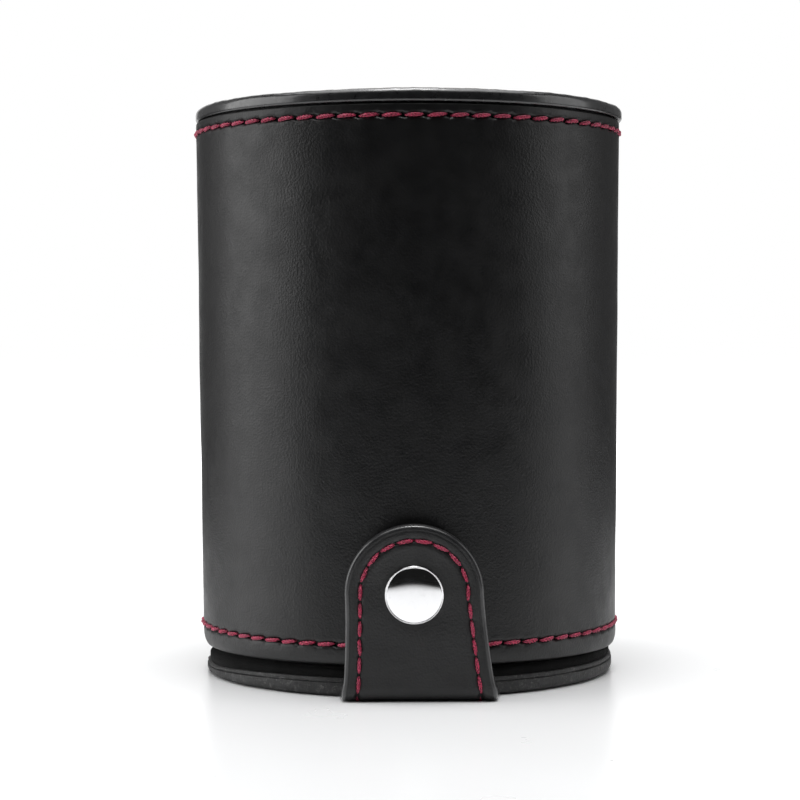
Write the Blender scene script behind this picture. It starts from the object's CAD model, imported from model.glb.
"""Looks of a leather dice cup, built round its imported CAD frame.

Places and main sizes come from the frame's nodes and joints. Thicknesses, corner radii and seam
distances are named here and agree with the CAD. Shapes are worked out in millimetres and turned
into metres when a mesh is made.
"""

from math import atan2, cos, pi, radians, sin, tan

import bmesh
import bpy
import numpy as np
from mathutils import Matrix, Vector


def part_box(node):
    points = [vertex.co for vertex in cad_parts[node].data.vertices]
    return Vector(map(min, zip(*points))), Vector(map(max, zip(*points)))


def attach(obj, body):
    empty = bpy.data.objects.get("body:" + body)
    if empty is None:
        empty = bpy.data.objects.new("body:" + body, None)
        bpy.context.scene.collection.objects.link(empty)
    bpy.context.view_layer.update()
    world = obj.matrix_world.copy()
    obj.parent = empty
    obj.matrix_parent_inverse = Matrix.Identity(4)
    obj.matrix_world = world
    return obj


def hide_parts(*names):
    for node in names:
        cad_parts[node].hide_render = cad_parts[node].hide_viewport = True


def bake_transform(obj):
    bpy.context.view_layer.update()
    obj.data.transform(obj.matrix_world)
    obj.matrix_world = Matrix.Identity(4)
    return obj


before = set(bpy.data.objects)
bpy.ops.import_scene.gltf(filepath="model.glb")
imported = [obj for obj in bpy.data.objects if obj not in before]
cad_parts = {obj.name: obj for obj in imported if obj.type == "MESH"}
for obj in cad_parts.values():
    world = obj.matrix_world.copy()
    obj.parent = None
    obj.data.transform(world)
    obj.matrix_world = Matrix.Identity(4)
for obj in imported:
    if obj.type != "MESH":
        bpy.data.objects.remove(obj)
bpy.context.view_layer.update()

MM = 0.001

# ---------------------------------------------------------------- reading the frame


def node_points(node):
    """All points of a CAD node, in millimetres."""
    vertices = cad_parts[node].data.vertices
    points = np.zeros(len(vertices) * 3, np.float32)
    vertices.foreach_get("co", points)
    return points.reshape(-1, 3).astype(float) / MM


def widest(node, low, high):
    """Largest distance from the cup's axis among a node's points between two heights."""
    points = node_points(node)
    level = points[(points[:, 2] > low - 0.01) & (points[:, 2] < high + 0.01)]
    return float(np.hypot(level[:, 0], level[:, 1]).max())


def separate_solids(node):
    """Centre and long direction of each separate solid in a node, in millimetres."""
    mesh = bmesh.new()
    mesh.from_mesh(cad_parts[node].data)
    bmesh.ops.remove_doubles(mesh, verts=mesh.verts, dist=1e-7)
    mesh.verts.ensure_lookup_table()
    seen = set()
    found = []
    for first in mesh.verts:
        if first.index in seen:
            continue
        seen.add(first.index)
        waiting = [first]
        group = []
        while waiting:
            vertex = waiting.pop()
            group.append(vertex.co[:])
            for edge in vertex.link_edges:
                other = edge.other_vert(vertex)
                if other.index not in seen:
                    seen.add(other.index)
                    waiting.append(other)
        points = np.array(group) / MM
        centre = (points.max(axis=0) + points.min(axis=0)) / 2
        spread = np.linalg.svd(points - centre, full_matrices=False)[2]
        found.append((centre, spread[0]))
    mesh.free()
    return found


# ---------------------------------------------------------------- shape helpers


def smooth_noise(points, wavelength, seed, waves=14):
    """Smooth noise between about -1 and 1: a sum of plane waves of about one wavelength."""
    draw = np.random.default_rng(seed)
    directions = draw.normal(size=(waves, 3))
    directions /= np.linalg.norm(directions, axis=1)[:, None]
    lengths = wavelength * draw.uniform(0.7, 1.5, waves)
    phases = draw.uniform(0, 2 * pi, waves)
    total = np.zeros(points.shape[:-1])
    for direction, length, phase in zip(directions, lengths, phases):
        total += np.sin(points @ direction * (2 * pi / length) + phase)
    return total / np.sqrt(waves) / 1.4


def bell(distance, width):
    """1 at zero distance, falling smoothly to nothing past the width."""
    return np.exp(-((distance / width) ** 2))


def rounded(corners, steps=6):
    """A profile through corners (x, y, radius), each corner turned into an arc."""
    points = []
    for index, (x, y, radius) in enumerate(corners):
        here = np.array([x, y], float)
        if radius == 0 or index in (0, len(corners) - 1):
            points.append(here)
            continue
        back = np.array(corners[index - 1][:2], float) - here
        on = np.array(corners[index + 1][:2], float) - here
        back /= np.linalg.norm(back)
        on /= np.linalg.norm(on)
        half = np.arccos(np.clip(back @ on, -1, 1)) / 2
        middle = (back + on) / np.linalg.norm(back + on)
        centre = here + middle * radius / sin(half)
        start = here + back * radius / tan(half) - centre
        end = here + on * radius / tan(half) - centre
        turn = np.arccos(np.clip(start @ end / radius**2, -1, 1))
        for step in np.linspace(0, 1, steps):
            share = (sin((1 - step) * turn) * start + sin(step * turn) * end) / sin(turn)
            points.append(centre + share)
    return np.array(points)


def refined(profile, longest):
    """The same profile with points added so that no span is longer than given."""
    points = [profile[0]]
    for start, end in zip(profile[:-1], profile[1:]):
        count = max(1, int(np.ceil(np.linalg.norm(end - start) / longest)))
        points.extend(start + (end - start) * step / count for step in range(1, count + 1))
    return np.array(points)


def grid_quads(rows, columns, wrap_rows=False, wrap_columns=True):
    """Faces of a grid of points that is stored row by row."""
    row = np.arange(rows if wrap_rows else rows - 1)
    column = np.arange(columns if wrap_columns else columns - 1)
    row, column = np.meshgrid(row, column, indexing="ij")
    next_row = (row + 1) % rows
    next_column = (column + 1) % columns
    corners = (
        row * columns + column,
        row * columns + next_column,
        next_row * columns + next_column,
        next_row * columns + column,
    )
    return np.stack(corners, axis=-1).reshape(-1, 4)


def make_piece(name, points, quads, materials, slots=None):
    """A smooth closed mesh from points in millimetres. Coinciding points are welded."""
    mesh = bpy.data.meshes.new(name)
    mesh.from_pydata((points.reshape(-1, 3) * MM).tolist(), [], quads.tolist())
    for material in materials:
        mesh.materials.append(material)
    if slots is not None:
        mesh.polygons.foreach_set("material_index", slots)
    welded = bmesh.new()
    welded.from_mesh(mesh)
    bmesh.ops.remove_doubles(welded, verts=welded.verts, dist=1e-7)
    bmesh.ops.recalc_face_normals(welded, faces=welded.faces)
    welded.to_mesh(mesh)
    welded.free()
    mesh.shade_smooth()
    piece = bpy.data.objects.new(name, mesh)
    bpy.context.scene.collection.objects.link(piece)
    return piece


def turned(name, profile, columns, materials, shape=None, closed=False):
    """A piece turned about the cup's axis. shape(angle, radius, height) may move its points."""
    angle = np.linspace(0, 2 * pi, columns, endpoint=False)[None, :]
    radius = np.repeat(profile[:, :1], columns, axis=1)
    height = np.repeat(profile[:, 1:], columns, axis=1)
    if shape:
        radius, height = shape(angle, radius, height)
    points = np.stack((radius * np.cos(angle), radius * np.sin(angle), height), axis=-1)
    return make_piece(name, points, grid_quads(len(profile), columns, wrap_rows=closed), materials)


def on_cylinder(angle, radius, height):
    """Points in space from angle, radius and height."""
    angle = np.broadcast_to(angle, radius.shape)
    return np.stack((radius * np.cos(angle), radius * np.sin(angle), height), axis=-1)


def place(piece, body, *nodes, slot):
    """The piece rides on a body, stands for CAD nodes and takes its finish from a slot."""
    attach(piece, body)
    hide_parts(*nodes)


# ---------------------------------------------------------------- materials


class Finish:
    """A Principled material with a few helpers for its procedural texture nodes."""

    def __init__(self, name, **settings):
        self.material = bpy.data.materials.new(name)
        self.material.use_nodes = True
        self.tree = self.material.node_tree
        self.shader = self.tree.nodes["Principled BSDF"]
        self.place = self.node("ShaderNodeTexCoord").outputs["Object"]
        self.height = None
        for socket, value in settings.items():
            self.shader.inputs[socket.replace("_", " ")].default_value = value

    def node(self, kind, **inputs):
        made = self.tree.nodes.new(kind)
        for socket, value in inputs.items():
            self.set(made, socket.replace("_", " "), value)
        return made

    def set(self, node, socket, value):
        if isinstance(value, bpy.types.NodeSocket):
            self.tree.links.new(value, node.inputs[socket])
        else:
            node.inputs[socket].default_value = value

    def noise(self, size, detail=4.0, rough=0.55):
        """Noise whose features are about size millimetres across, from 0 to 1."""
        mapping = self.node("ShaderNodeMapping", Vector=self.place)
        mapping.inputs["Scale"].default_value = [1 / MM / size] * 3
        texture = self.node("ShaderNodeTexNoise", Vector=mapping.outputs[0], Scale=1.0)
        texture.inputs["Detail"].default_value = detail
        texture.inputs["Roughness"].default_value = rough
        return texture.outputs["Fac"]

    def cells(self, size, randomness):
        """Cells about size millimetres across: the distance to their middle."""
        texture = self.node("ShaderNodeTexVoronoi", Vector=self.place, Scale=1 / MM / size)
        texture.inputs["Randomness"].default_value = randomness
        return texture.outputs["Distance"]

    def ramp(self, value, low, high, start=0.0, end=1.0):
        """A value remapped from start..end to low..high, clamped."""
        node = self.node("ShaderNodeMapRange", Value=value)
        node.inputs["From Min"].default_value = start
        node.inputs["From Max"].default_value = end
        node.inputs["To Min"].default_value = low
        node.inputs["To Max"].default_value = high
        return node.outputs["Result"]

    def mix(self, factor, first, second):
        """A colour between two, by a factor."""
        node = self.tree.nodes.new("ShaderNodeMix")
        node.data_type = "RGBA"
        self.set(node, 0, factor)
        for index, colour in ((6, first), (7, second)):
            self.set(node, index, colour if isinstance(colour, bpy.types.NodeSocket) else (*colour, 1))
        return node.outputs[2]

    def math(self, operation, first, second):
        node = self.tree.nodes.new("ShaderNodeMath")
        node.operation = operation
        self.set(node, 0, first)
        self.set(node, 1, second)
        return node.outputs[0]

    def colour(self, value):
        self.set(self.shader, "Base Color", value)

    def roughness(self, value):
        self.set(self.shader, "Roughness", value)

    def bump(self, height, depth):
        """Adds relief of a depth in millimetres on top of what is there."""
        node = self.node("ShaderNodeBump", Height=height, Distance=depth * MM)
        if self.height:
            self.set(node, "Normal", self.height)
        self.height = node.outputs["Normal"]
        self.set(self.shader, "Normal", self.height)


def leather(name, dark, light, gloss, grain=0.42, relief=0.035, scuffs=0.0):
    """Black leather: fine pebble grain, slow changes of tone and gloss, and grey scuffs if any."""
    finish = Finish(name, IOR=1.45)
    tone = finish.noise(7, detail=5)
    colour = finish.mix(finish.ramp(tone, 0, 1, 0.35, 0.65), dark, light)
    pebbles = finish.cells(grain, randomness=0.9)
    if scuffs:
        worn = finish.ramp(finish.noise(0.8, detail=9, rough=0.8), 0, 1, 0.53, 0.64)
        patchy = finish.ramp(finish.noise(9.0, detail=3), 0.25, scuffs, 0.4, 0.6)
        colour = finish.mix(finish.math("MULTIPLY", worn, patchy), colour, (0.17, 0.165, 0.16))
        finish.bump(finish.noise(1.3, detail=6, rough=0.65), 0.14)
    finish.colour(colour)
    patches = finish.noise(4.5, detail=6, rough=0.6)
    finish.roughness(finish.ramp(patches, gloss - 0.06, gloss + 0.08, 0.3, 0.7))
    finish.bump(pebbles, relief)
    finish.bump(finish.noise(0.9, detail=5, rough=0.6), relief * 0.55)
    finish.bump(finish.noise(5.0, detail=3), 0.045)
    return finish.material


def edge_paint(name, gloss):
    """Thick black paint on cut leather edges: glossy and lumpy, with a fine texture."""
    finish = Finish(name, IOR=1.5, Coat_Weight=0.7, Coat_Roughness=0.16)
    finish.colour(finish.mix(finish.noise(2.0), (0.008, 0.008, 0.009), (0.018, 0.018, 0.019)))
    finish.roughness(finish.ramp(finish.noise(1.1, detail=6), gloss, gloss + 0.2, 0.3, 0.7))
    finish.bump(finish.noise(2.4, detail=3), 0.022)
    finish.bump(finish.noise(0.35, detail=4), 0.006)
    return finish.material


def thread_finish():
    """Crimson waxed thread with fine fibres and slightly faded stretches."""
    finish = Finish("crimson_thread", IOR=1.5, Sheen_Weight=0.22, Sheen_Roughness=0.30)
    finish.shader.inputs["Sheen Tint"].default_value = (1.0, 0.62, 0.72, 1)
    fibres = finish.noise(0.20, detail=6, rough=0.7)
    fine = finish.mix(finish.ramp(fibres, 0, 1, 0.40, 0.62), (0.06, 0.002, 0.009), (0.72, 0.050, 0.140))
    faded = finish.ramp(finish.noise(6.0), 0, 0.45, 0.45, 0.7)
    finish.colour(finish.mix(faded, fine, (0.40, 0.065, 0.125)))
    finish.roughness(finish.ramp(fibres, 0.28, 0.50, 0.3, 0.7))
    finish.bump(fibres, 0.02)
    return finish.material


def pile(name, dark, light, sheen, nap):
    """Velvet or felt: short matted pile with brushed patches."""
    finish = Finish(name, Sheen_Weight=sheen, Sheen_Roughness=0.35)
    strongest = max(light)
    finish.shader.inputs["Sheen Tint"].default_value = (*(0.25 + 0.75 * c / strongest for c in light), 1)
    finish.shader.inputs["Specular IOR Level"].default_value = 0.15
    brushed = finish.ramp(finish.noise(nap, detail=3), 0, 1, 0.35, 0.65)
    fibres = finish.noise(0.22, detail=5, rough=0.7)
    tone = finish.mix(brushed, dark, light)
    finish.colour(finish.mix(finish.ramp(fibres, 0, 0.5, 0.35, 0.6), tone, dark))
    finish.roughness(finish.ramp(fibres, 0.85, 1.0, 0.3, 0.7))
    finish.bump(fibres, 0.09)
    return finish.material


def metal(name, tint, gloss, brush):
    """Plated metal with faint wear: its tone and gloss change in small patches."""
    finish = Finish(name, Metallic=1.0)
    wear = finish.noise(brush, detail=6, rough=0.7)
    worn = finish.ramp(wear, 0, 1, 0.5, 0.75)
    finish.colour(finish.mix(worn, tint, tuple(c * 0.95 for c in tint)))
    finish.roughness(finish.ramp(wear, gloss, gloss + 0.06, 0.45, 0.8))
    finish.bump(finish.noise(3.0, detail=2), 0.004)
    return finish.material


def board_finish():
    """Grey fibreboard with flecks."""
    finish = Finish("fibreboard")
    flecks = finish.noise(0.5, detail=6, rough=0.7)
    finish.colour(finish.mix(finish.ramp(flecks, 0, 1, 0.35, 0.65), (0.20, 0.17, 0.14), (0.34, 0.30, 0.25)))
    finish.roughness(finish.ramp(flecks, 0.8, 0.95, 0.3, 0.7))
    finish.bump(flecks, 0.05)
    return finish.material


def moulded_plastic():
    """Matte black moulded plastic with a fine eroded texture."""
    finish = Finish("moulded_plastic", IOR=1.46)
    texture = finish.noise(0.4, detail=4)
    finish.colour(finish.mix(texture, (0.020, 0.020, 0.021), (0.034, 0.034, 0.035)))
    finish.roughness(finish.ramp(texture, 0.5, 0.65, 0.3, 0.7))
    finish.bump(texture, 0.02)
    return finish.material


sleeve_leather = leather("sleeve_leather", (0.0040, 0.0040, 0.0044), (0.0070, 0.0069, 0.0072), 0.40)
strap_leather = leather("strap_leather", (0.0080, 0.0080, 0.0085), (0.0130, 0.0130, 0.0134), 0.44)
lid_leather = leather("lid_leather", (0.0100, 0.0100, 0.0105), (0.0200, 0.0198, 0.0200), 0.50, scuffs=0.8)
rim_paint = edge_paint("rim_paint", 0.24)
strap_paint = edge_paint("strap_edge_paint", 0.28)
crimson_thread = thread_finish()
chamber_velvet = pile("chamber_velvet", (0.12, 0.006, 0.014), (0.26, 0.020, 0.036), 0.22, 16)
black_felt = pile("black_felt", (0.0025, 0.0025, 0.0025), (0.0060, 0.0060, 0.0060), 0.06, 6)
snap_chrome = metal("snap_chrome", (0.93, 0.93, 0.94), 0.07, 1.2)
snap_plating = metal("snap_plating", (0.72, 0.72, 0.73), 0.18, 0.6)
spring_steel = metal("spring_steel", (0.60, 0.60, 0.61), 0.22, 0.4)
fibreboard = board_finish()
core_plastic = moulded_plastic()

# ---------------------------------------------------------------- stitches


def thread_pieces(name, stitches, to_space, length, width):
    """Three-ply threads whose ends dive into the needle holes.

    stitches are (u, v, turn) on a surface, and to_space turns u, v and a height into space.
    """
    rings = 25
    sides = 9
    plies = 3
    lay = 1.9
    along = np.linspace(-1, 1, rings)[:, None]
    side = np.linspace(0, 2 * pi, sides, endpoint=False)[None, :]
    narrow = 1 - 0.58 * np.abs(along) ** 2.4
    closed = np.sqrt(np.clip(1 - np.abs(along) ** 14, 0, 1))
    ply_radius = 0.245 * width * narrow * closed
    draw = np.random.default_rng(len(stitches))
    points = []
    for u, v, turn in stitches:
        tilt = turn + draw.normal(0, 0.035)
        grow = draw.normal(1, 0.03)
        phase = draw.uniform(0, 2 * pi)
        forward = grow * along * length / 2 + 0 * side
        centre_line = draw.normal(0.15, 0.02) - 0.66 * np.abs(along) ** 2.8
        for ply in range(plies):
            twist = phase + 2 * pi * (ply / plies + along * length / 2 / lay)
            across = 0.27 * width * narrow * np.cos(twist) + ply_radius * np.cos(side)
            rise = 0.22 * width * narrow * np.sin(twist) + ply_radius * np.sin(side)
            points.append(
                to_space(
                    u + forward * cos(tilt) - across * sin(tilt),
                    v + forward * sin(tilt) + across * cos(tilt),
                    rise + centre_line,
                ).reshape(-1, 3)
            )
    quads = grid_quads(rings, sides)
    quads = np.concatenate([quads + index * rings * sides for index in range(len(points))])
    return make_piece(name, np.concatenate(points), quads, [crimson_thread])


def stitch_angle(direction, rightward, upward):
    """How far a stitch turns from the rightward direction of its surface."""
    turn = atan2(direction @ upward, direction @ rightward)
    return turn - pi * round(turn / pi)


# ---------------------------------------------------------------- sleeve

sleeve_low, sleeve_high = (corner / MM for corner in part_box("outer_sleeve"))
SLEEVE_THICK = 1.4
CORNER = 2.25
TURN_IN = 36.6
EDGE_FADE = 1.6
HANG_FROM = 37.9
HANG_WIDTH = 1.2
top_radius = widest("outer_sleeve", sleeve_high.z - 0.1, sleeve_high.z)
low_radius = widest("outer_sleeve", sleeve_low.z + 2.0, sleeve_low.z + 2.6)


def sleeve_radius(height):
    """Radius of the leather at a height, on the frame's straight taper."""
    share = (height - sleeve_low.z) / (sleeve_high.z - sleeve_low.z)
    return low_radius + (top_radius - low_radius) * share


class StitchRow:
    """One row round the sleeve, read from its CAD node."""

    def __init__(self, node):
        solids = separate_solids(node)
        self.height = float(np.mean([centre[2] for centre, _ in solids]))
        self.radius = sleeve_radius(self.height)
        self.angles = np.array([atan2(centre[1], centre[0]) for centre, _ in solids])
        gaps = np.diff(np.sort(self.angles))
        self.step = float(np.median(gaps))
        self.stitches = []
        for centre, direction in solids:
            angle = atan2(centre[1], centre[0])
            rightward = np.array([-sin(angle), cos(angle), 0])
            turn = stitch_angle(direction, rightward, np.array([0, 0, 1]))
            self.stitches.append((angle * self.radius, centre[2], turn))
        self.slant = float(np.median([turn for _, _, turn in self.stitches]))

    def relief(self, angle, height):
        """Relief of the leather in millimetres, negative where the thread pulls it in."""
        phase = (angle - self.angles[0] + self.step / 2) % self.step - self.step / 2
        pitch = self.step * self.radius
        along = phase * self.radius
        above = height - self.height
        off_line = above - along * tan(self.slant)
        wave = np.cos(2 * pi * along / pitch)
        channel = -bell(off_line, 0.46) * (0.26 + 0.06 * (1 - wave))
        to_hole = pitch / 2 - np.abs(along)
        hole = -0.62 * bell(np.hypot(to_hole * 0.75, above), 0.34)
        swell = bell(np.abs(off_line) - 1.0, 0.5) * (0.016 + 0.012 * wave)
        return channel + hole + swell

    def to_space(self, u, v, h):
        return on_cylinder(u / self.radius, sleeve_radius(v) + h, v)


top_row = StitchRow("top_stitching")
bottom_row = StitchRow("bottom_stitching")


def sleeve_heights():
    """Heights up the sleeve's outer wall, close together at the stitch rows."""
    start = sleeve_low.z + CORNER
    end = sleeve_high.z - 0.3
    levels = [np.linspace(start, end, 64)]
    for row in (top_row, bottom_row):
        low = max(start, row.height - 2.0)
        high = min(end, row.height + 2.0)
        levels.append(np.linspace(low, high, 30))
    return np.unique(np.concatenate(levels).round(3))


def leather_swell(points):
    """Slow unevenness of leather that was wrapped by hand."""
    return 0.07 * smooth_noise(points, 34, 3) + 0.03 * smooth_noise(points, 11, 4)


def shape_sleeve(angle, radius, height):
    """Stitch relief, soft unevenness and the butt seam at the back.

    The bottom corner is fuller on the right, and the bottom edge hangs lower at both sides.
    """
    outer = (radius > sleeve_radius(height) - 0.7).astype(float)
    relief = top_row.relief(angle, height) + bottom_row.relief(angle, height)
    swell = leather_swell(on_cylinder(angle, radius, height))
    low_edge = np.exp(-(height - sleeve_low.z) / EDGE_FADE)
    looser = (0.10 + 0.30 * np.cos(angle)) * low_edge
    side = np.abs(np.cos(angle))
    lowest = 0.20 + 0.30 * side + 0.95 * side**3
    hang = lowest * low_edge * np.clip((radius - HANG_FROM) / HANG_WIDTH, 0, 1)
    from_seam = (angle - pi / 2) * radius
    seam = 0.10 * bell(np.abs(from_seam) - 0.9, 0.6) - 0.75 * bell(from_seam, 0.22)
    top_wave = 0.06 * smooth_noise(on_cylinder(angle, radius, height * 0), 21, 8)
    at_top = np.clip((height - top_row.height) / 2.0, 0, 1)
    return radius + outer * (relief + swell + seam) + looser, height + at_top * top_wave - hang


def build_sleeve():
    wall = sleeve_heights()
    outside = np.stack((sleeve_radius(wall), wall), axis=-1)
    low = sleeve_low.z
    high = sleeve_high.z
    bottom = [(TURN_IN, low, 0), (low_radius, low, CORNER), (low_radius, low + CORNER * 2, 0)]
    below = rounded(bottom, steps=10)[:-2]
    inner_radius = top_radius - SLEEVE_THICK
    top = [(top_radius, high - 1, 0), (top_radius, high, 0.28), (inner_radius, high, 0)]
    above = rounded(top, steps=5)[1:]
    inside = refined(
        np.array(
            [
                (inner_radius, high - 0.2),
                (low_radius - SLEEVE_THICK, low + CORNER),
                (low_radius - CORNER, low + SLEEVE_THICK),
                (TURN_IN, low + SLEEVE_THICK),
            ]
        ),
        16,
    )
    profile = np.concatenate((refined(below, 0.8), outside, above, inside))
    piece = turned("sleeve", profile, 1200, [sleeve_leather], shape_sleeve, closed=True)
    place(piece, "cup", "outer_sleeve", slot="sleeve_leather")


build_sleeve()
THREAD_WIDTH = 0.72
THREAD_GAP = 0.35
for row_name, row in (("top_stitching", top_row), ("bottom_stitching", bottom_row)):
    pitch = row.step * row.radius
    threads = thread_pieces(
        row_name.replace("stitching", "threads"), row.stitches, row.to_space, pitch - THREAD_GAP, THREAD_WIDTH
    )
    place(threads, "cup", row_name, slot="thread")

# ---------------------------------------------------------------- rim

rim_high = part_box("rim_binding")[1] / MM
RIM_SKIRT = rim_high.z - 2.4
RIM_INSIDE = 35.3
RIM_SHIFT = 0.22


def shape_rim(angle, radius, height):
    """Hand-laid edge paint: it wanders, pools along the top and stands out more on the right."""
    points = on_cylinder(angle, radius, height)
    ring = on_cylinder(angle, radius * 0 + rim_high.x, height * 0)
    up = np.clip((height - RIM_SKIRT) / (rim_high.z - RIM_SKIRT), 0, 1)
    outside = (radius > (RIM_INSIDE + rim_high.x) / 2).astype(float)
    wander = 0.07 * smooth_noise(ring, 30, 11) + 0.03 * smooth_noise(ring, 8, 12)
    pooled = np.clip((up - 0.72) / 0.28, 0, 1)
    lumps = 0.030 * smooth_noise(points, 2.4, 13) + 0.014 * smooth_noise(points, 0.9, 14)
    out = outside * (RIM_SHIFT * np.cos(angle) + 0.04 * smooth_noise(ring, 15, 15))
    return radius + out + lumps * pooled, height + up * wander + lumps * pooled


def build_rim():
    inner_foot = sleeve_high.z
    profile = rounded(
        [
            (rim_high.x - 1.6, RIM_SKIRT, 0),
            (rim_high.x, RIM_SKIRT, 0.55),
            (rim_high.x, rim_high.z, 1.15),
            (RIM_INSIDE, rim_high.z, 1.25),
            (RIM_INSIDE, inner_foot, 0.3),
            (RIM_INSIDE + 1.1, inner_foot, 0),
        ],
        steps=9,
    )
    piece = turned("rim", refined(profile, 0.35), 720, [rim_paint], shape_rim, closed=True)
    place(piece, "cup", "rim_binding", slot="rim_leather")


build_rim()

# ---------------------------------------------------------------- linings


def build_wall_lining(node, material, slot, seed):
    """A glued pile lining: slightly uneven, with a soft butt seam at the back."""
    low, high = (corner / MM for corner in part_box(node))
    outer = high.x
    inner = outer - 0.75
    corners = [(outer - 0.1, low.z, 0), (inner, low.z, 0.3), (inner, high.z, 0.3), (outer - 0.1, high.z, 0)]
    profile = rounded(corners, steps=5)

    def shape(angle, radius, height):
        points = on_cylinder(angle, radius, height)
        uneven = 0.08 * smooth_noise(points, 18, seed) + 0.04 * smooth_noise(points, 1.6, seed + 1)
        from_seam = np.abs((angle - pi / 2 + pi) % (2 * pi) - pi) * radius
        return radius - uneven + 0.35 * bell(from_seam, 0.5), height

    piece = turned(node + "_pile", refined(profile, 1.6), 360, [material], shape, closed=True)
    place(piece, "cup", node, slot=slot)


def build_pad(node, body, material, slot, seed, crown, flip=False, cover=(), grow=0.0, follow=None):
    """A felt or velvet disc: crowned, with a soft rolled edge. flip puts its face underneath.

    follow(angle, radius, height) is how far the pad is carried up or down by what it is glued to.
    """
    low, high = (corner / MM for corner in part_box(node))
    radius = high.x + grow
    bottom = min([low.z] + [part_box(other)[0].z / MM for other in cover])
    roll = min(0.75, (high.z - bottom) * 0.45)
    corners = [(0, high.z, 0), (radius, high.z, roll), (radius, bottom, min(0.15, roll)), (0, bottom, 0)]
    profile = refined(rounded(corners, steps=6), 1.2)

    def shape(angle, spread, height):
        points = on_cylinder(angle, spread, height)
        face = (height < high.z - 0.01 if flip else height > bottom + 0.01).astype(float)
        dome = crown * (1 - (spread / radius) ** 2) * (-1 if flip else 1)
        edge = np.clip(spread / radius, 0, 1) ** 8
        fuzz = 0.05 * smooth_noise(points, 1.1, seed) * edge
        sag = 0.05 * smooth_noise(points, 14, seed + 1) * (1 - edge)
        carried = follow(angle, spread, height) if follow else 0
        return spread + fuzz, height + face * (dome + sag) + 0.4 * fuzz + carried

    piece = turned(node + "_pile", profile, 300, [material], shape)
    place(piece, body, node, *cover, slot=slot)


build_wall_lining("chamber_lining", chamber_velvet, "chamber_velvet", 21)
build_wall_lining("compartment_lining", black_felt, "black_felt", 23)
build_pad("chamber_floor_pad", "cup", chamber_velvet, "chamber_velvet", 25, 0.25)
build_pad("compartment_ceiling_pad", "cup", black_felt, "black_felt", 27, 0.15, flip=True)

# ---------------------------------------------------------------- lid

cover_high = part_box("lid_cover")[1] / MM
lip_low, lip_high = (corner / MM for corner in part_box("lid_inner_leather"))
LID_RADIUS = cover_high.x
SOFT_FROM = 33
SAG_DEPTH = 2.3
CURL_HEIGHT = 1.1
CURL_AT = radians(186)
lid_top = lip_high.z


def lid_sag(angle, radius, height):
    """The lid's soft edge: it sags to the left of the strap and its far left corner curls up."""
    edge = np.clip((radius - SOFT_FROM) / (LID_RADIUS - SOFT_FROM), 0, 1) ** 2
    rise = np.clip(height / lid_top, 0, 1)
    left = np.clip(-np.cos(angle + radians(10)), 0, 1) ** 3.4
    from_corner = np.abs((angle - CURL_AT + pi) % (2 * pi) - pi)
    curl = CURL_HEIGHT * bell(from_corner, radians(5))
    return edge * rise * (curl - SAG_DEPTH * left)


def shape_lid_cover(angle, radius, height):
    points = on_cylinder(angle, radius, height)
    side = np.clip((radius - 35) / 3, 0, 1)
    uneven = 0.09 * smooth_noise(points, 13, 31) + 0.035 * smooth_noise(points, 3.0, 32)
    lift = 0.03 * smooth_noise(points, 5.0, 33) * side * (height > 0.3)
    return radius + side * uneven, height + lid_sag(angle, radius, height) + lift


def build_lid_cover():
    top = lip_low.z
    corners = [(0, 0.0, 0), (LID_RADIUS, 0.0, 1.35), (LID_RADIUS, top, 0.22), (0, top, 0)]
    profile = rounded(corners, steps=10)
    piece = turned("lid_cover_leather", refined(profile, 1.0), 620, [lid_leather], shape_lid_cover)
    place(piece, "lid", "lid_cover", slot="lid_leather")


def shape_lip(angle, radius, height):
    points = on_cylinder(angle, radius, height)
    edge = np.clip(radius / lip_high.x, 0, 1) ** 12
    wander = edge * (0.10 * smooth_noise(points, 9, 35) + 0.03 * smooth_noise(points, 1.5, 36))
    return radius + wander, height + lid_sag(angle, radius, height) + 0.3 * wander


def build_lip():
    low = lip_low.z - 0.05
    corners = [(0, low, 0), (lip_high.x, low, 0.25), (lip_high.x, lip_high.z, 0.35), (0, lip_high.z, 0)]
    profile = rounded(corners, steps=6)
    piece = turned("lid_lip_leather", refined(profile, 1.0), 620, [lid_leather], shape_lip)
    place(piece, "lid", "lid_inner_leather", slot="lid_leather")


build_lid_cover()
build_lip()
build_pad("lid_felt", "lid", black_felt, "black_felt", 37, 0.0, grow=0.45, follow=lid_sag)
build_pad("lid_plug_pad", "lid", black_felt, "black_felt", 39, 0.2, cover=("lid_plug",))

# ---------------------------------------------------------------- stitched tabs

TAB_THREAD_LENGTH = 3.15
TAB_THREAD_WIDTH = 0.68
TAB_HOLE_SPACING = 3.1
THREAD_SUNK = 0.03


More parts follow.
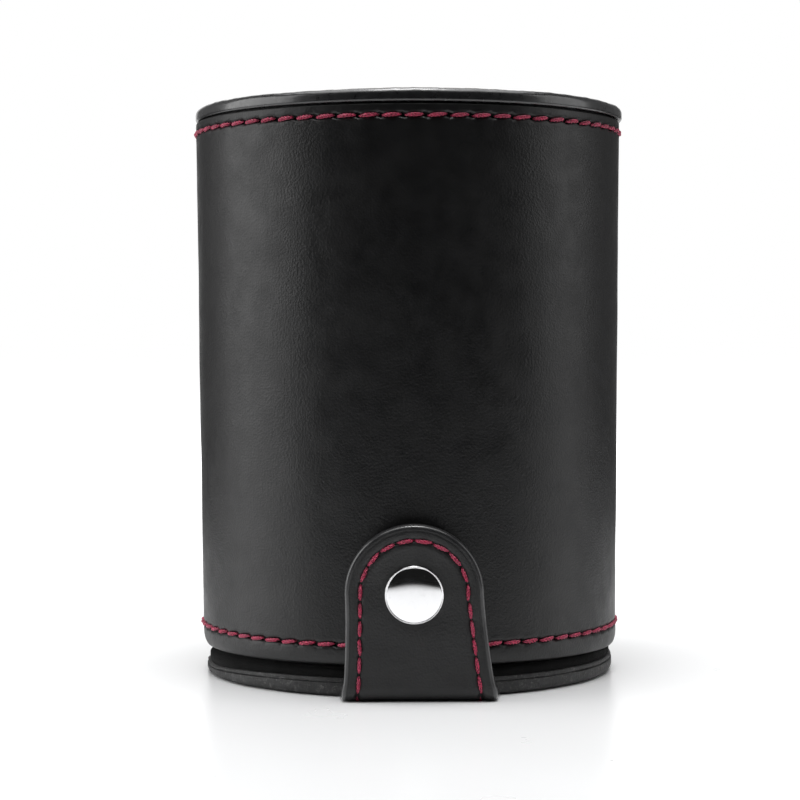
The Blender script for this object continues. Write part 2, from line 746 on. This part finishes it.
class Tab:
    """A stitched leather tab with an arched top, drawn flat as (u across, v up, h out).

    Its sides run down from the arch at v = 0 and on through a fold at the bottom.
    """

    def __init__(self, arch, bottom, half_low, shift_low, seam):
        self.arch = arch
        self.bottom = bottom
        self.half_low = half_low
        self.shift_low = shift_low
        self.seam = seam
        self.holes = []

    def middle(self, v):
        return self.shift_low * np.clip(v / self.bottom, 0, 1)

    def half(self, v):
        down = np.clip(v / self.bottom, 0, 1.3)
        return self.arch + (self.half_low - self.arch) * down**1.6

    def outline(self, low_end):
        """Points of the outline and, for each, the point of the spine that it faces."""
        down = np.linspace(low_end, 0, 96, endpoint=False)
        turn = np.linspace(pi, 0, 150)
        edge = np.concatenate(
            (
                np.stack((self.middle(down) - self.half(down), down), axis=-1),
                np.stack((self.arch * np.cos(turn), self.arch * np.sin(turn)), axis=-1),
                np.stack((self.middle(down) + self.half(down), down), axis=-1)[::-1],
            )
        )
        spine = np.stack((self.middle(edge[:, 1]), np.minimum(edge[:, 1], 0)), axis=-1)
        return edge, spine

    def relief(self, u, v, depth):
        """Thread channel, needle holes, the swell of the margin and a crease along the edge."""
        pressed = -0.20 * bell(depth - self.seam, 0.42)
        for hole_u, hole_v in self.holes:
            pressed = pressed - 0.34 * bell(np.hypot(u - hole_u, v - hole_v), 0.34)
        swell = 0.09 * bell(depth - self.seam * 0.5, 0.8) + 0.05 * bell(depth - self.seam - 1.1, 0.6)
        crease = -0.05 * bell(depth - 0.95, 0.13)
        return pressed + swell + crease

    def sheet(self, low, high, low_end, front, edge_round=0.55):
        """Grid points (u, v, h) of a layer from h = low to high, and which faces are its edge."""
        edge, spine = self.outline(low_end)
        width = np.linalg.norm(edge - spine, axis=1)[:, None]
        inner_zone = self.seam + 1.7
        towards_middle = np.array([1.0, 0.8, 0.6, 0.42, 0.25, 0.12])
        fine = np.linspace(inner_zone, edge_round, 30)
        turn = np.linspace(0, pi / 2, 7)[1:]
        back_round = 0.25
        back = np.array([0.6, 1.6, 3.0])
        depth = np.concatenate(
            (
                inner_zone + (width - inner_zone) * towards_middle,
                np.repeat(fine[None], len(edge), axis=0),
                np.repeat((edge_round * (1 - np.sin(turn)))[None], len(edge), axis=0),
                np.repeat((back_round * (1 - np.sin(turn[::-1])))[None], len(edge), axis=0),
                np.repeat(back[None], len(edge), axis=0),
                inner_zone + (width - inner_zone) * towards_middle[::-1],
            ),
            axis=1,
        )
        drop = np.concatenate(
            (
                np.zeros(len(towards_middle) + len(fine)),
                edge_round * (1 - np.cos(turn)),
                high - low - back_round * (1 - np.cos(turn[::-1])),
                np.full(len(back) + len(towards_middle), high - low),
            )
        )
        inward = (spine - edge) / width
        u = edge[:, :1] + inward[:, :1] * depth
        v = edge[:, 1:] + inward[:, 1:] * depth
        count = len(towards_middle) + len(fine)
        is_front = np.arange(depth.shape[1]) < count
        relief = self.relief(u, v, depth) if front else 0 * u
        uneven = 0.05 * smooth_noise(np.stack((u, v, 0 * u + low * 9), axis=-1), 7, 41)
        h = high - drop[None, :] + is_front * relief + uneven
        edge_rows = np.zeros(depth.shape[1] - 1, int)
        edge_rows[count - 2 : count + 2 * len(turn)] = 1
        slots = np.repeat(edge_rows[None], len(edge) - 1, axis=0).ravel()
        return np.stack((u, v, h), axis=-1), slots

    def piece(self, name, layer, slots, to_space, materials):
        rows, columns = layer.shape[:2]
        quads = grid_quads(rows, columns, wrap_columns=False)
        points = to_space(layer[..., 0], layer[..., 1], layer[..., 2])
        return make_piece(name, points, quads, materials, slots)


# How far the fold stands below the lid's underside, so that the two faces don't share a plane.
PROUD = 0.03


class FoldedPath:
    """Maps (v, h) of a strip to (outward, height): straight, then folded under to the horizontal.

    The fold is pressed flat against the table, PROUD below the lid's underside.
    """

    def __init__(self, origin_height, thickness, tilt, inner_radius):
        self.tilt = tilt
        self.inner = inner_radius
        bend_top = thickness + inner_radius * (1 - sin(tilt))
        self.bend_v = (bend_top - origin_height) / cos(tilt)
        self.origin_height = origin_height
        self.turn = pi / 2 - tilt
        self.bend_length = (inner_radius + thickness / 2) * self.turn

    def folded(self, v):
        """How far round the fold a place is, from 0 to 1."""
        return np.clip((self.bend_v - v) / self.bend_length, 0, 1)

    def place(self, v, h):
        straight = np.maximum(v, self.bend_v)
        into_bend = self.folded(v) * self.turn
        past = np.maximum(self.bend_v - v - self.bend_length, 0)
        start_out = straight * sin(self.tilt)
        start_up = self.origin_height + straight * cos(self.tilt)
        facing = -self.tilt - into_bend
        centre_out = start_out - self.inner * cos(self.tilt)
        centre_up = start_up + self.inner * sin(self.tilt)
        reach = self.inner + h
        pressed = PROUD * 2 * self.folded(v)
        height = centre_up + reach * np.sin(facing) - pressed
        return centre_out + reach * np.cos(facing) - past, np.maximum(height, -PROUD)


# ---------------------------------------------------------------- strap

cap_centre = separate_solids("snap_cap")[0][0]
socket_centre = separate_solids("snap_socket")[0][0]
outward = cap_centre - socket_centre
outward[0] = 0
outward /= np.linalg.norm(outward)
strap_tilt = atan2(-outward[2], -outward[1])
strap_up = np.array([0, -sin(strap_tilt), cos(strap_tilt)])
along_outward = node_points("strap_lining") @ outward
inner_plane = along_outward.min()
strap_thickness = (node_points("strap_outer_leather") @ outward).max() - inner_plane
lining_thickness = along_outward.max() - inner_plane
snap_origin = cap_centre + outward * (inner_plane - cap_centre @ outward)
strap_low = (node_points("strap_outer_leather") - snap_origin) @ strap_up
strap_arch = strap_low.max()
outer_points = node_points("strap_outer_leather") - snap_origin
foot = outer_points[strap_low < strap_low.min() + 1.0]
foot_left = foot[:, 0].min()
foot_right = foot[:, 0].max()
STRAP_SEAM = 2.65
FOLD_INNER = 0.3
FOLD_GAP = 3.3
FOLD_SUNK = 0.12
FLARE = 0.25
OUTER_RUN = 4.6
BACKING_RUN = 0.8

strap_path = FoldedPath(snap_origin[2], strap_thickness, strap_tilt, FOLD_INNER)
strap_tab = Tab(
    strap_arch, strap_low.min(), (foot_right - foot_left) / 2, (foot_right + foot_left) / 2, STRAP_SEAM
)


def strap_space(u, v, h):
    """Strap coordinates to space. The strap bows slightly round the cup and flares at its fold."""
    out, height = strap_path.place(v, h)
    flare = 1 + FLARE / strap_arch * np.clip((strap_path.bend_v + 1.8 - v) / 2.4, 0, 1) ** 2
    bow = -0.0030 * u**2 * np.clip((v - strap_path.bend_v) / 12.0, 0, 1)
    x = snap_origin[0] + strap_tab.middle(v) + (u - strap_tab.middle(v)) * flare
    return np.stack((x, snap_origin[1] - out - bow, height), axis=-1)


def strap_stitches():
    """Stitches of the strap in its own coordinates, with one more in the fold at each end."""
    found = []
    for centre, direction in separate_solids("strap_stitching"):
        offset = centre - snap_origin
        turn = stitch_angle(direction, np.array([1.0, 0, 0]), strap_up)
        found.append((offset[0], offset @ strap_up, turn))
    for side in (-1, 1):
        u, v, turn = min((s for s in found if s[0] * side > 0), key=lambda s: s[1])
        found.append((u + side * 0.1, v - FOLD_GAP, turn))
    return found


def hole_places(stitches, length):
    """Needle holes: where neighbouring stitches end, taken once each."""
    ends = []
    for u, v, turn in stitches:
        for way in (-1, 1):
            ends.append((u + way * length / 2 * cos(turn), v + way * length / 2 * sin(turn)))
    holes = []
    for end in ends:
        if all(np.hypot(end[0] - u, end[1] - v) > 0.9 for u, v in holes):
            near = [other for other in ends if np.hypot(end[0] - other[0], end[1] - other[1]) < 0.9]
            holes.append(tuple(np.mean(near, axis=0)))
    return holes


strap_seam = strap_stitches()
strap_tab.holes = hole_places(strap_seam, TAB_HOLE_SPACING)


def press_under_cap(layer):
    """The leather is pulled in a little round the snap cap."""
    around = np.hypot(layer[..., 0], layer[..., 1])
    layer[..., 2] -= 0.16 * np.exp(-((around / 6.6) ** 4))
    return layer


def build_strap():
    reach = strap_path.bend_v - strap_path.bend_length
    layer, slots = strap_tab.sheet(lining_thickness + 0.01, strap_thickness, reach - OUTER_RUN, front=True)
    outer = strap_tab.piece(
        "strap_leather", press_under_cap(layer), slots, strap_space, [strap_leather, strap_paint]
    )
    layer, slots = strap_tab.sheet(
        0, lining_thickness - 0.03, reach - BACKING_RUN, front=False, edge_round=0.3
    )
    backing = strap_tab.piece("strap_backing", layer, slots, strap_space, [strap_leather, strap_paint])

    def on_leather(u, v, h):
        sunk = THREAD_SUNK + FOLD_SUNK * strap_path.folded(v)
        return strap_space(u, v, h + strap_thickness - sunk)

    stitches = thread_pieces(
        "strap_threads", strap_seam, on_leather, TAB_THREAD_LENGTH, TAB_THREAD_WIDTH
    )
    for piece, node, slot in (
        (outer, "strap_outer_leather", "strap_leather"),
        (backing, "strap_lining", "strap_leather"),
        (stitches, "strap_stitching", "thread"),
    ):
        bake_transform(piece)
        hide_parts(node)


build_strap()

# ---------------------------------------------------------------- snap


def snap_turned(name, profile, origin, axis, material):
    """A small piece turned about the snap's own axis; the profile is (radius, distance outward)."""
    columns = 96
    angle = np.linspace(0, 2 * pi, columns, endpoint=False)
    side = np.array([1.0, 0, 0])
    up = np.cross(axis, side)
    ring = np.cos(angle)[:, None] * side + np.sin(angle)[:, None] * up
    points = origin + profile[:, None, :1] * ring[None] + profile[:, None, 1:] * axis
    return make_piece(name, points, grid_quads(len(profile), columns), [material])


CAP_RADIUS = 5.1


def build_cap():
    """Domed chrome cap with a rolled rim, and the flared post behind it."""
    face = strap_thickness
    radius = CAP_RADIUS
    dome_edge = radius - 0.20
    sweep = np.linspace(0, dome_edge, 22)
    dome = np.stack((sweep, face + 1.0 - 0.014 * sweep**2 - 0.00030 * sweep**4), axis=-1)
    bead_turn = np.linspace(radians(205), radians(-35), 16)
    bead = np.stack(
        (radius - 0.12 + 0.12 * np.cos(bead_turn), face + 0.42 + 0.14 * np.sin(bead_turn)), axis=-1
    )
    behind = np.array([(radius - 0.1, face - 0.15), (1.2, face - 0.15), (1.2, -0.27)])
    flare = np.array([(1.9, -0.27), (1.9, -0.42), (0.7, -0.42), (0.0, -0.30)])
    profile = np.concatenate((dome, bead, behind, flare))
    piece = snap_turned("snap_cap_chrome", profile, snap_origin, outward, snap_chrome)
    place(piece, "strap", "snap_cap", slot="snap_chrome")


build_cap()
plain_nodes = {
    "snap_socket": snap_plating,
    "snap_stud": snap_plating,
    "snap_stud_rivet": snap_plating,
    "snap_spring": spring_steel,
    "partition_board": fibreboard,
    "lid_board": fibreboard,
    "core_tube": core_plastic,
}
for node, material in plain_nodes.items():
    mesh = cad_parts[node].data
    mesh.materials.clear()
    mesh.materials.append(material)

# ---------------------------------------------------------------- hinge at the back

tab_low, tab_high = (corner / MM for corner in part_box("hinge_tab"))
HINGE_THICK = 1.4
HINGE_SEAM = 2.6
HINGE_RUN = 2.4
hinge_half = (tab_high.x - tab_low.x) / 2
hinge_arch_height = tab_high.z - hinge_half
hinge_face = widest("hinge_tab", tab_low.z, tab_high.z)
hinge_radius = hinge_face - HINGE_THICK + 0.03
hinge_path = FoldedPath(hinge_arch_height, HINGE_THICK, 0.0, 0.25)
hinge_tab = Tab(hinge_half, -hinge_arch_height, hinge_half, 0.0, HINGE_SEAM)


def hinge_space(u, v, h):
    """Hinge coordinates to space: wrapped round the back of the cup, u running towards +X."""
    out, height = hinge_path.place(v, h)
    angle = pi / 2 - u / hinge_face
    radius = hinge_radius + out + 0.04 * np.clip((v + hinge_arch_height) / 20, 0, 1)
    return on_cylinder(angle, radius, height)


def hinge_stitches():
    found = []
    for centre, direction in separate_solids("hinge_stitching"):
        angle = atan2(centre[1], centre[0])
        rightward = np.array([sin(angle), -cos(angle), 0])
        turn = stitch_angle(direction, rightward, np.array([0, 0, 1.0]))
        found.append(((pi / 2 - angle) * hinge_face, centre[2] - hinge_arch_height, turn))
    return found


def build_hinge():
    seam = hinge_stitches()
    hinge_tab.holes = hole_places(seam, TAB_HOLE_SPACING)
    reach = hinge_path.bend_v - hinge_path.bend_length
    layer, slots = hinge_tab.sheet(0.02, HINGE_THICK, reach - HINGE_RUN, front=True)
    tab = hinge_tab.piece("hinge_leather", layer, slots, hinge_space, [strap_leather, strap_paint])
    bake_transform(tab)
    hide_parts("hinge_tab")
    stitches = thread_pieces(
        "hinge_threads",
        seam,
        lambda u, v, h: hinge_space(u, v, h + HINGE_THICK - THREAD_SUNK),
        TAB_THREAD_LENGTH,
        TAB_THREAD_WIDTH,
    )
    place(stitches, "cup", "hinge_stitching", slot="thread")


build_hinge()

# ---------------------------------------------------------------- studio


TABLE_FADE = (0.15, 0.26)
TABLE_GLOW = (0.30, 0.60)


def build_floor():
    """White table that the camera sees glow to pure white further out, from TABLE_GLOW.

    The cup reflects it only as far as TABLE_FADE, as in a room with a small table. Both are
    distances in metres.
    """
    finish = Finish("white_table", IOR=1.45)
    white = finish.mix(finish.noise(60, detail=2), (0.86, 0.865, 0.87), (0.88, 0.885, 0.89))
    finish.roughness(finish.ramp(finish.noise(25), 0.26, 0.30))
    seen = finish.node("ShaderNodeLightPath").outputs["Is Camera Ray"]
    wide = finish.node("ShaderNodeMapping", Vector=finish.place)
    wide.inputs["Scale"].default_value = (0.72, 1, 1)
    away = finish.node("ShaderNodeVectorMath", Vector=wide.outputs[0])
    away.operation = "LENGTH"
    fade = finish.ramp(away.outputs["Value"], 0, 1, *TABLE_FADE)
    reflected = finish.mix(fade, white, (0, 0, 0))
    finish.colour(finish.mix(seen, reflected, white))
    glow = finish.ramp(away.outputs["Value"], 0.0, 1.0, *TABLE_GLOW)
    finish.shader.inputs["Emission Color"].default_value = (1, 1, 1, 1)
    finish.set(finish.shader, "Emission Strength", finish.math("MULTIPLY", glow, seen))
    bpy.ops.mesh.primitive_plane_add(size=40)
    floor = bpy.context.object
    floor.name = "floor"
    floor.data.materials.append(finish.material)


def card_material(name, brightness):
    """Black card that glows at the given strength."""
    finish = Finish(name, Roughness=1.0)
    finish.shader.inputs["Base Color"].default_value = (0, 0, 0, 1)
    finish.shader.inputs["Specular IOR Level"].default_value = 0.0
    finish.shader.inputs["Emission Color"].default_value = (1, 1, 1, 1)
    finish.shader.inputs["Emission Strength"].default_value = brightness
    return finish.material


def add_card(name, corners, material):
    """A curved card from two rows of points. It lights the set, and the camera doesn't see it."""
    mesh = bpy.data.meshes.new(name)
    quads = grid_quads(2, corners.shape[1], wrap_columns=False)
    mesh.from_pydata(corners.reshape(-1, 3).tolist(), [], quads.tolist())
    mesh.materials.append(material)
    card = bpy.data.objects.new(name, mesh)
    bpy.context.scene.collection.objects.link(card)
    card.visible_camera = False
    card.visible_shadow = False


CARD_DISTANCE = 0.9


def arc(start, end, radius, level):
    """Points round the set at one height, by azimuth from the camera's side."""
    azimuth = np.radians(np.linspace(start, end, 40))
    return np.stack((radius * np.sin(azimuth), -radius * np.cos(azimuth), 0 * azimuth + level), axis=-1)


def build_wall_card(name, start, end, high, brightness):
    """An upright card round the set, from the table's level up and from one azimuth to another."""
    corners = np.stack((arc(start, end, CARD_DISTANCE, 0), arc(start, end, CARD_DISTANCE, high)))
    add_card(name, corners, card_material(name, brightness))


def build_light(name, place_at, target, size, power):
    data = bpy.data.lights.new(name, "AREA")
    data.shape = "ELLIPSE"
    data.size, data.size_y = size
    data.energy = power
    light = bpy.data.objects.new(name, data)
    light.location = place_at
    direction = Vector(target) - Vector(place_at)
    light.rotation_euler = direction.to_track_quat("-Z", "Y").to_euler()
    light.visible_camera = False
    bpy.context.scene.collection.objects.link(light)


def build_world():
    """A white backdrop that the camera sees. The lighting comes from the cards and lights alone."""
    world = bpy.data.worlds.new("studio")
    world.use_nodes = True
    tree = world.node_tree
    background = tree.nodes["Background"]
    background.inputs["Color"].default_value = (1, 1, 1, 1)
    path = tree.nodes.new("ShaderNodeLightPath")
    strength = tree.nodes.new("ShaderNodeMath")
    strength.operation = "MULTIPLY"
    strength.inputs[1].default_value = 1.0
    tree.links.new(path.outputs["Is Camera Ray"], strength.inputs[0])
    tree.links.new(strength.outputs[0], background.inputs["Strength"])
    bpy.context.scene.world = world


def build_camera():
    """The camera stands a little above the middle of the cup, looking almost level."""
    distance = 0.417
    eye_height = 0.0630
    sideways = -0.00165
    downward = 1.585
    roll = -0.2
    data = bpy.data.cameras.new("camera")
    data.sensor_width = 36
    data.lens = 97.28
    data.clip_start = 0.01
    camera = bpy.data.objects.new("camera", data)
    look = Matrix.Rotation(radians(90 - downward), 4, "X") @ Matrix.Rotation(radians(roll), 4, "Z")
    camera.matrix_world = Matrix.Translation((sideways, -distance, eye_height)) @ look
    bpy.context.scene.collection.objects.link(camera)
    bpy.context.scene.camera = camera


build_floor()
for card in (
    ("left_softbox", -112, -63, 0.8, 2.6),
    ("right_softbox", 72, 106, 0.8, 1.5),
    ("left_fill", -158, -112, 0.9, 0.16),
    ("right_fill", 106, 162, 0.9, 0.13),
    ("backdrop", 162, 202, 0.9, 0.97),
    ("dark_front", -63, 72, 0.9, 0.009),
):
    build_wall_card(*card)
build_world()
build_light("ceiling", (0, 0, 1.6), (0, 0, 0), (2.2, 2.2), 28)
build_light("overhead", (0, -0.1, 1.1), (0, 0, 0), (0.4, 0.4), 6)
build_camera()
bpy.context.scene.view_settings.view_transform = "Standard"
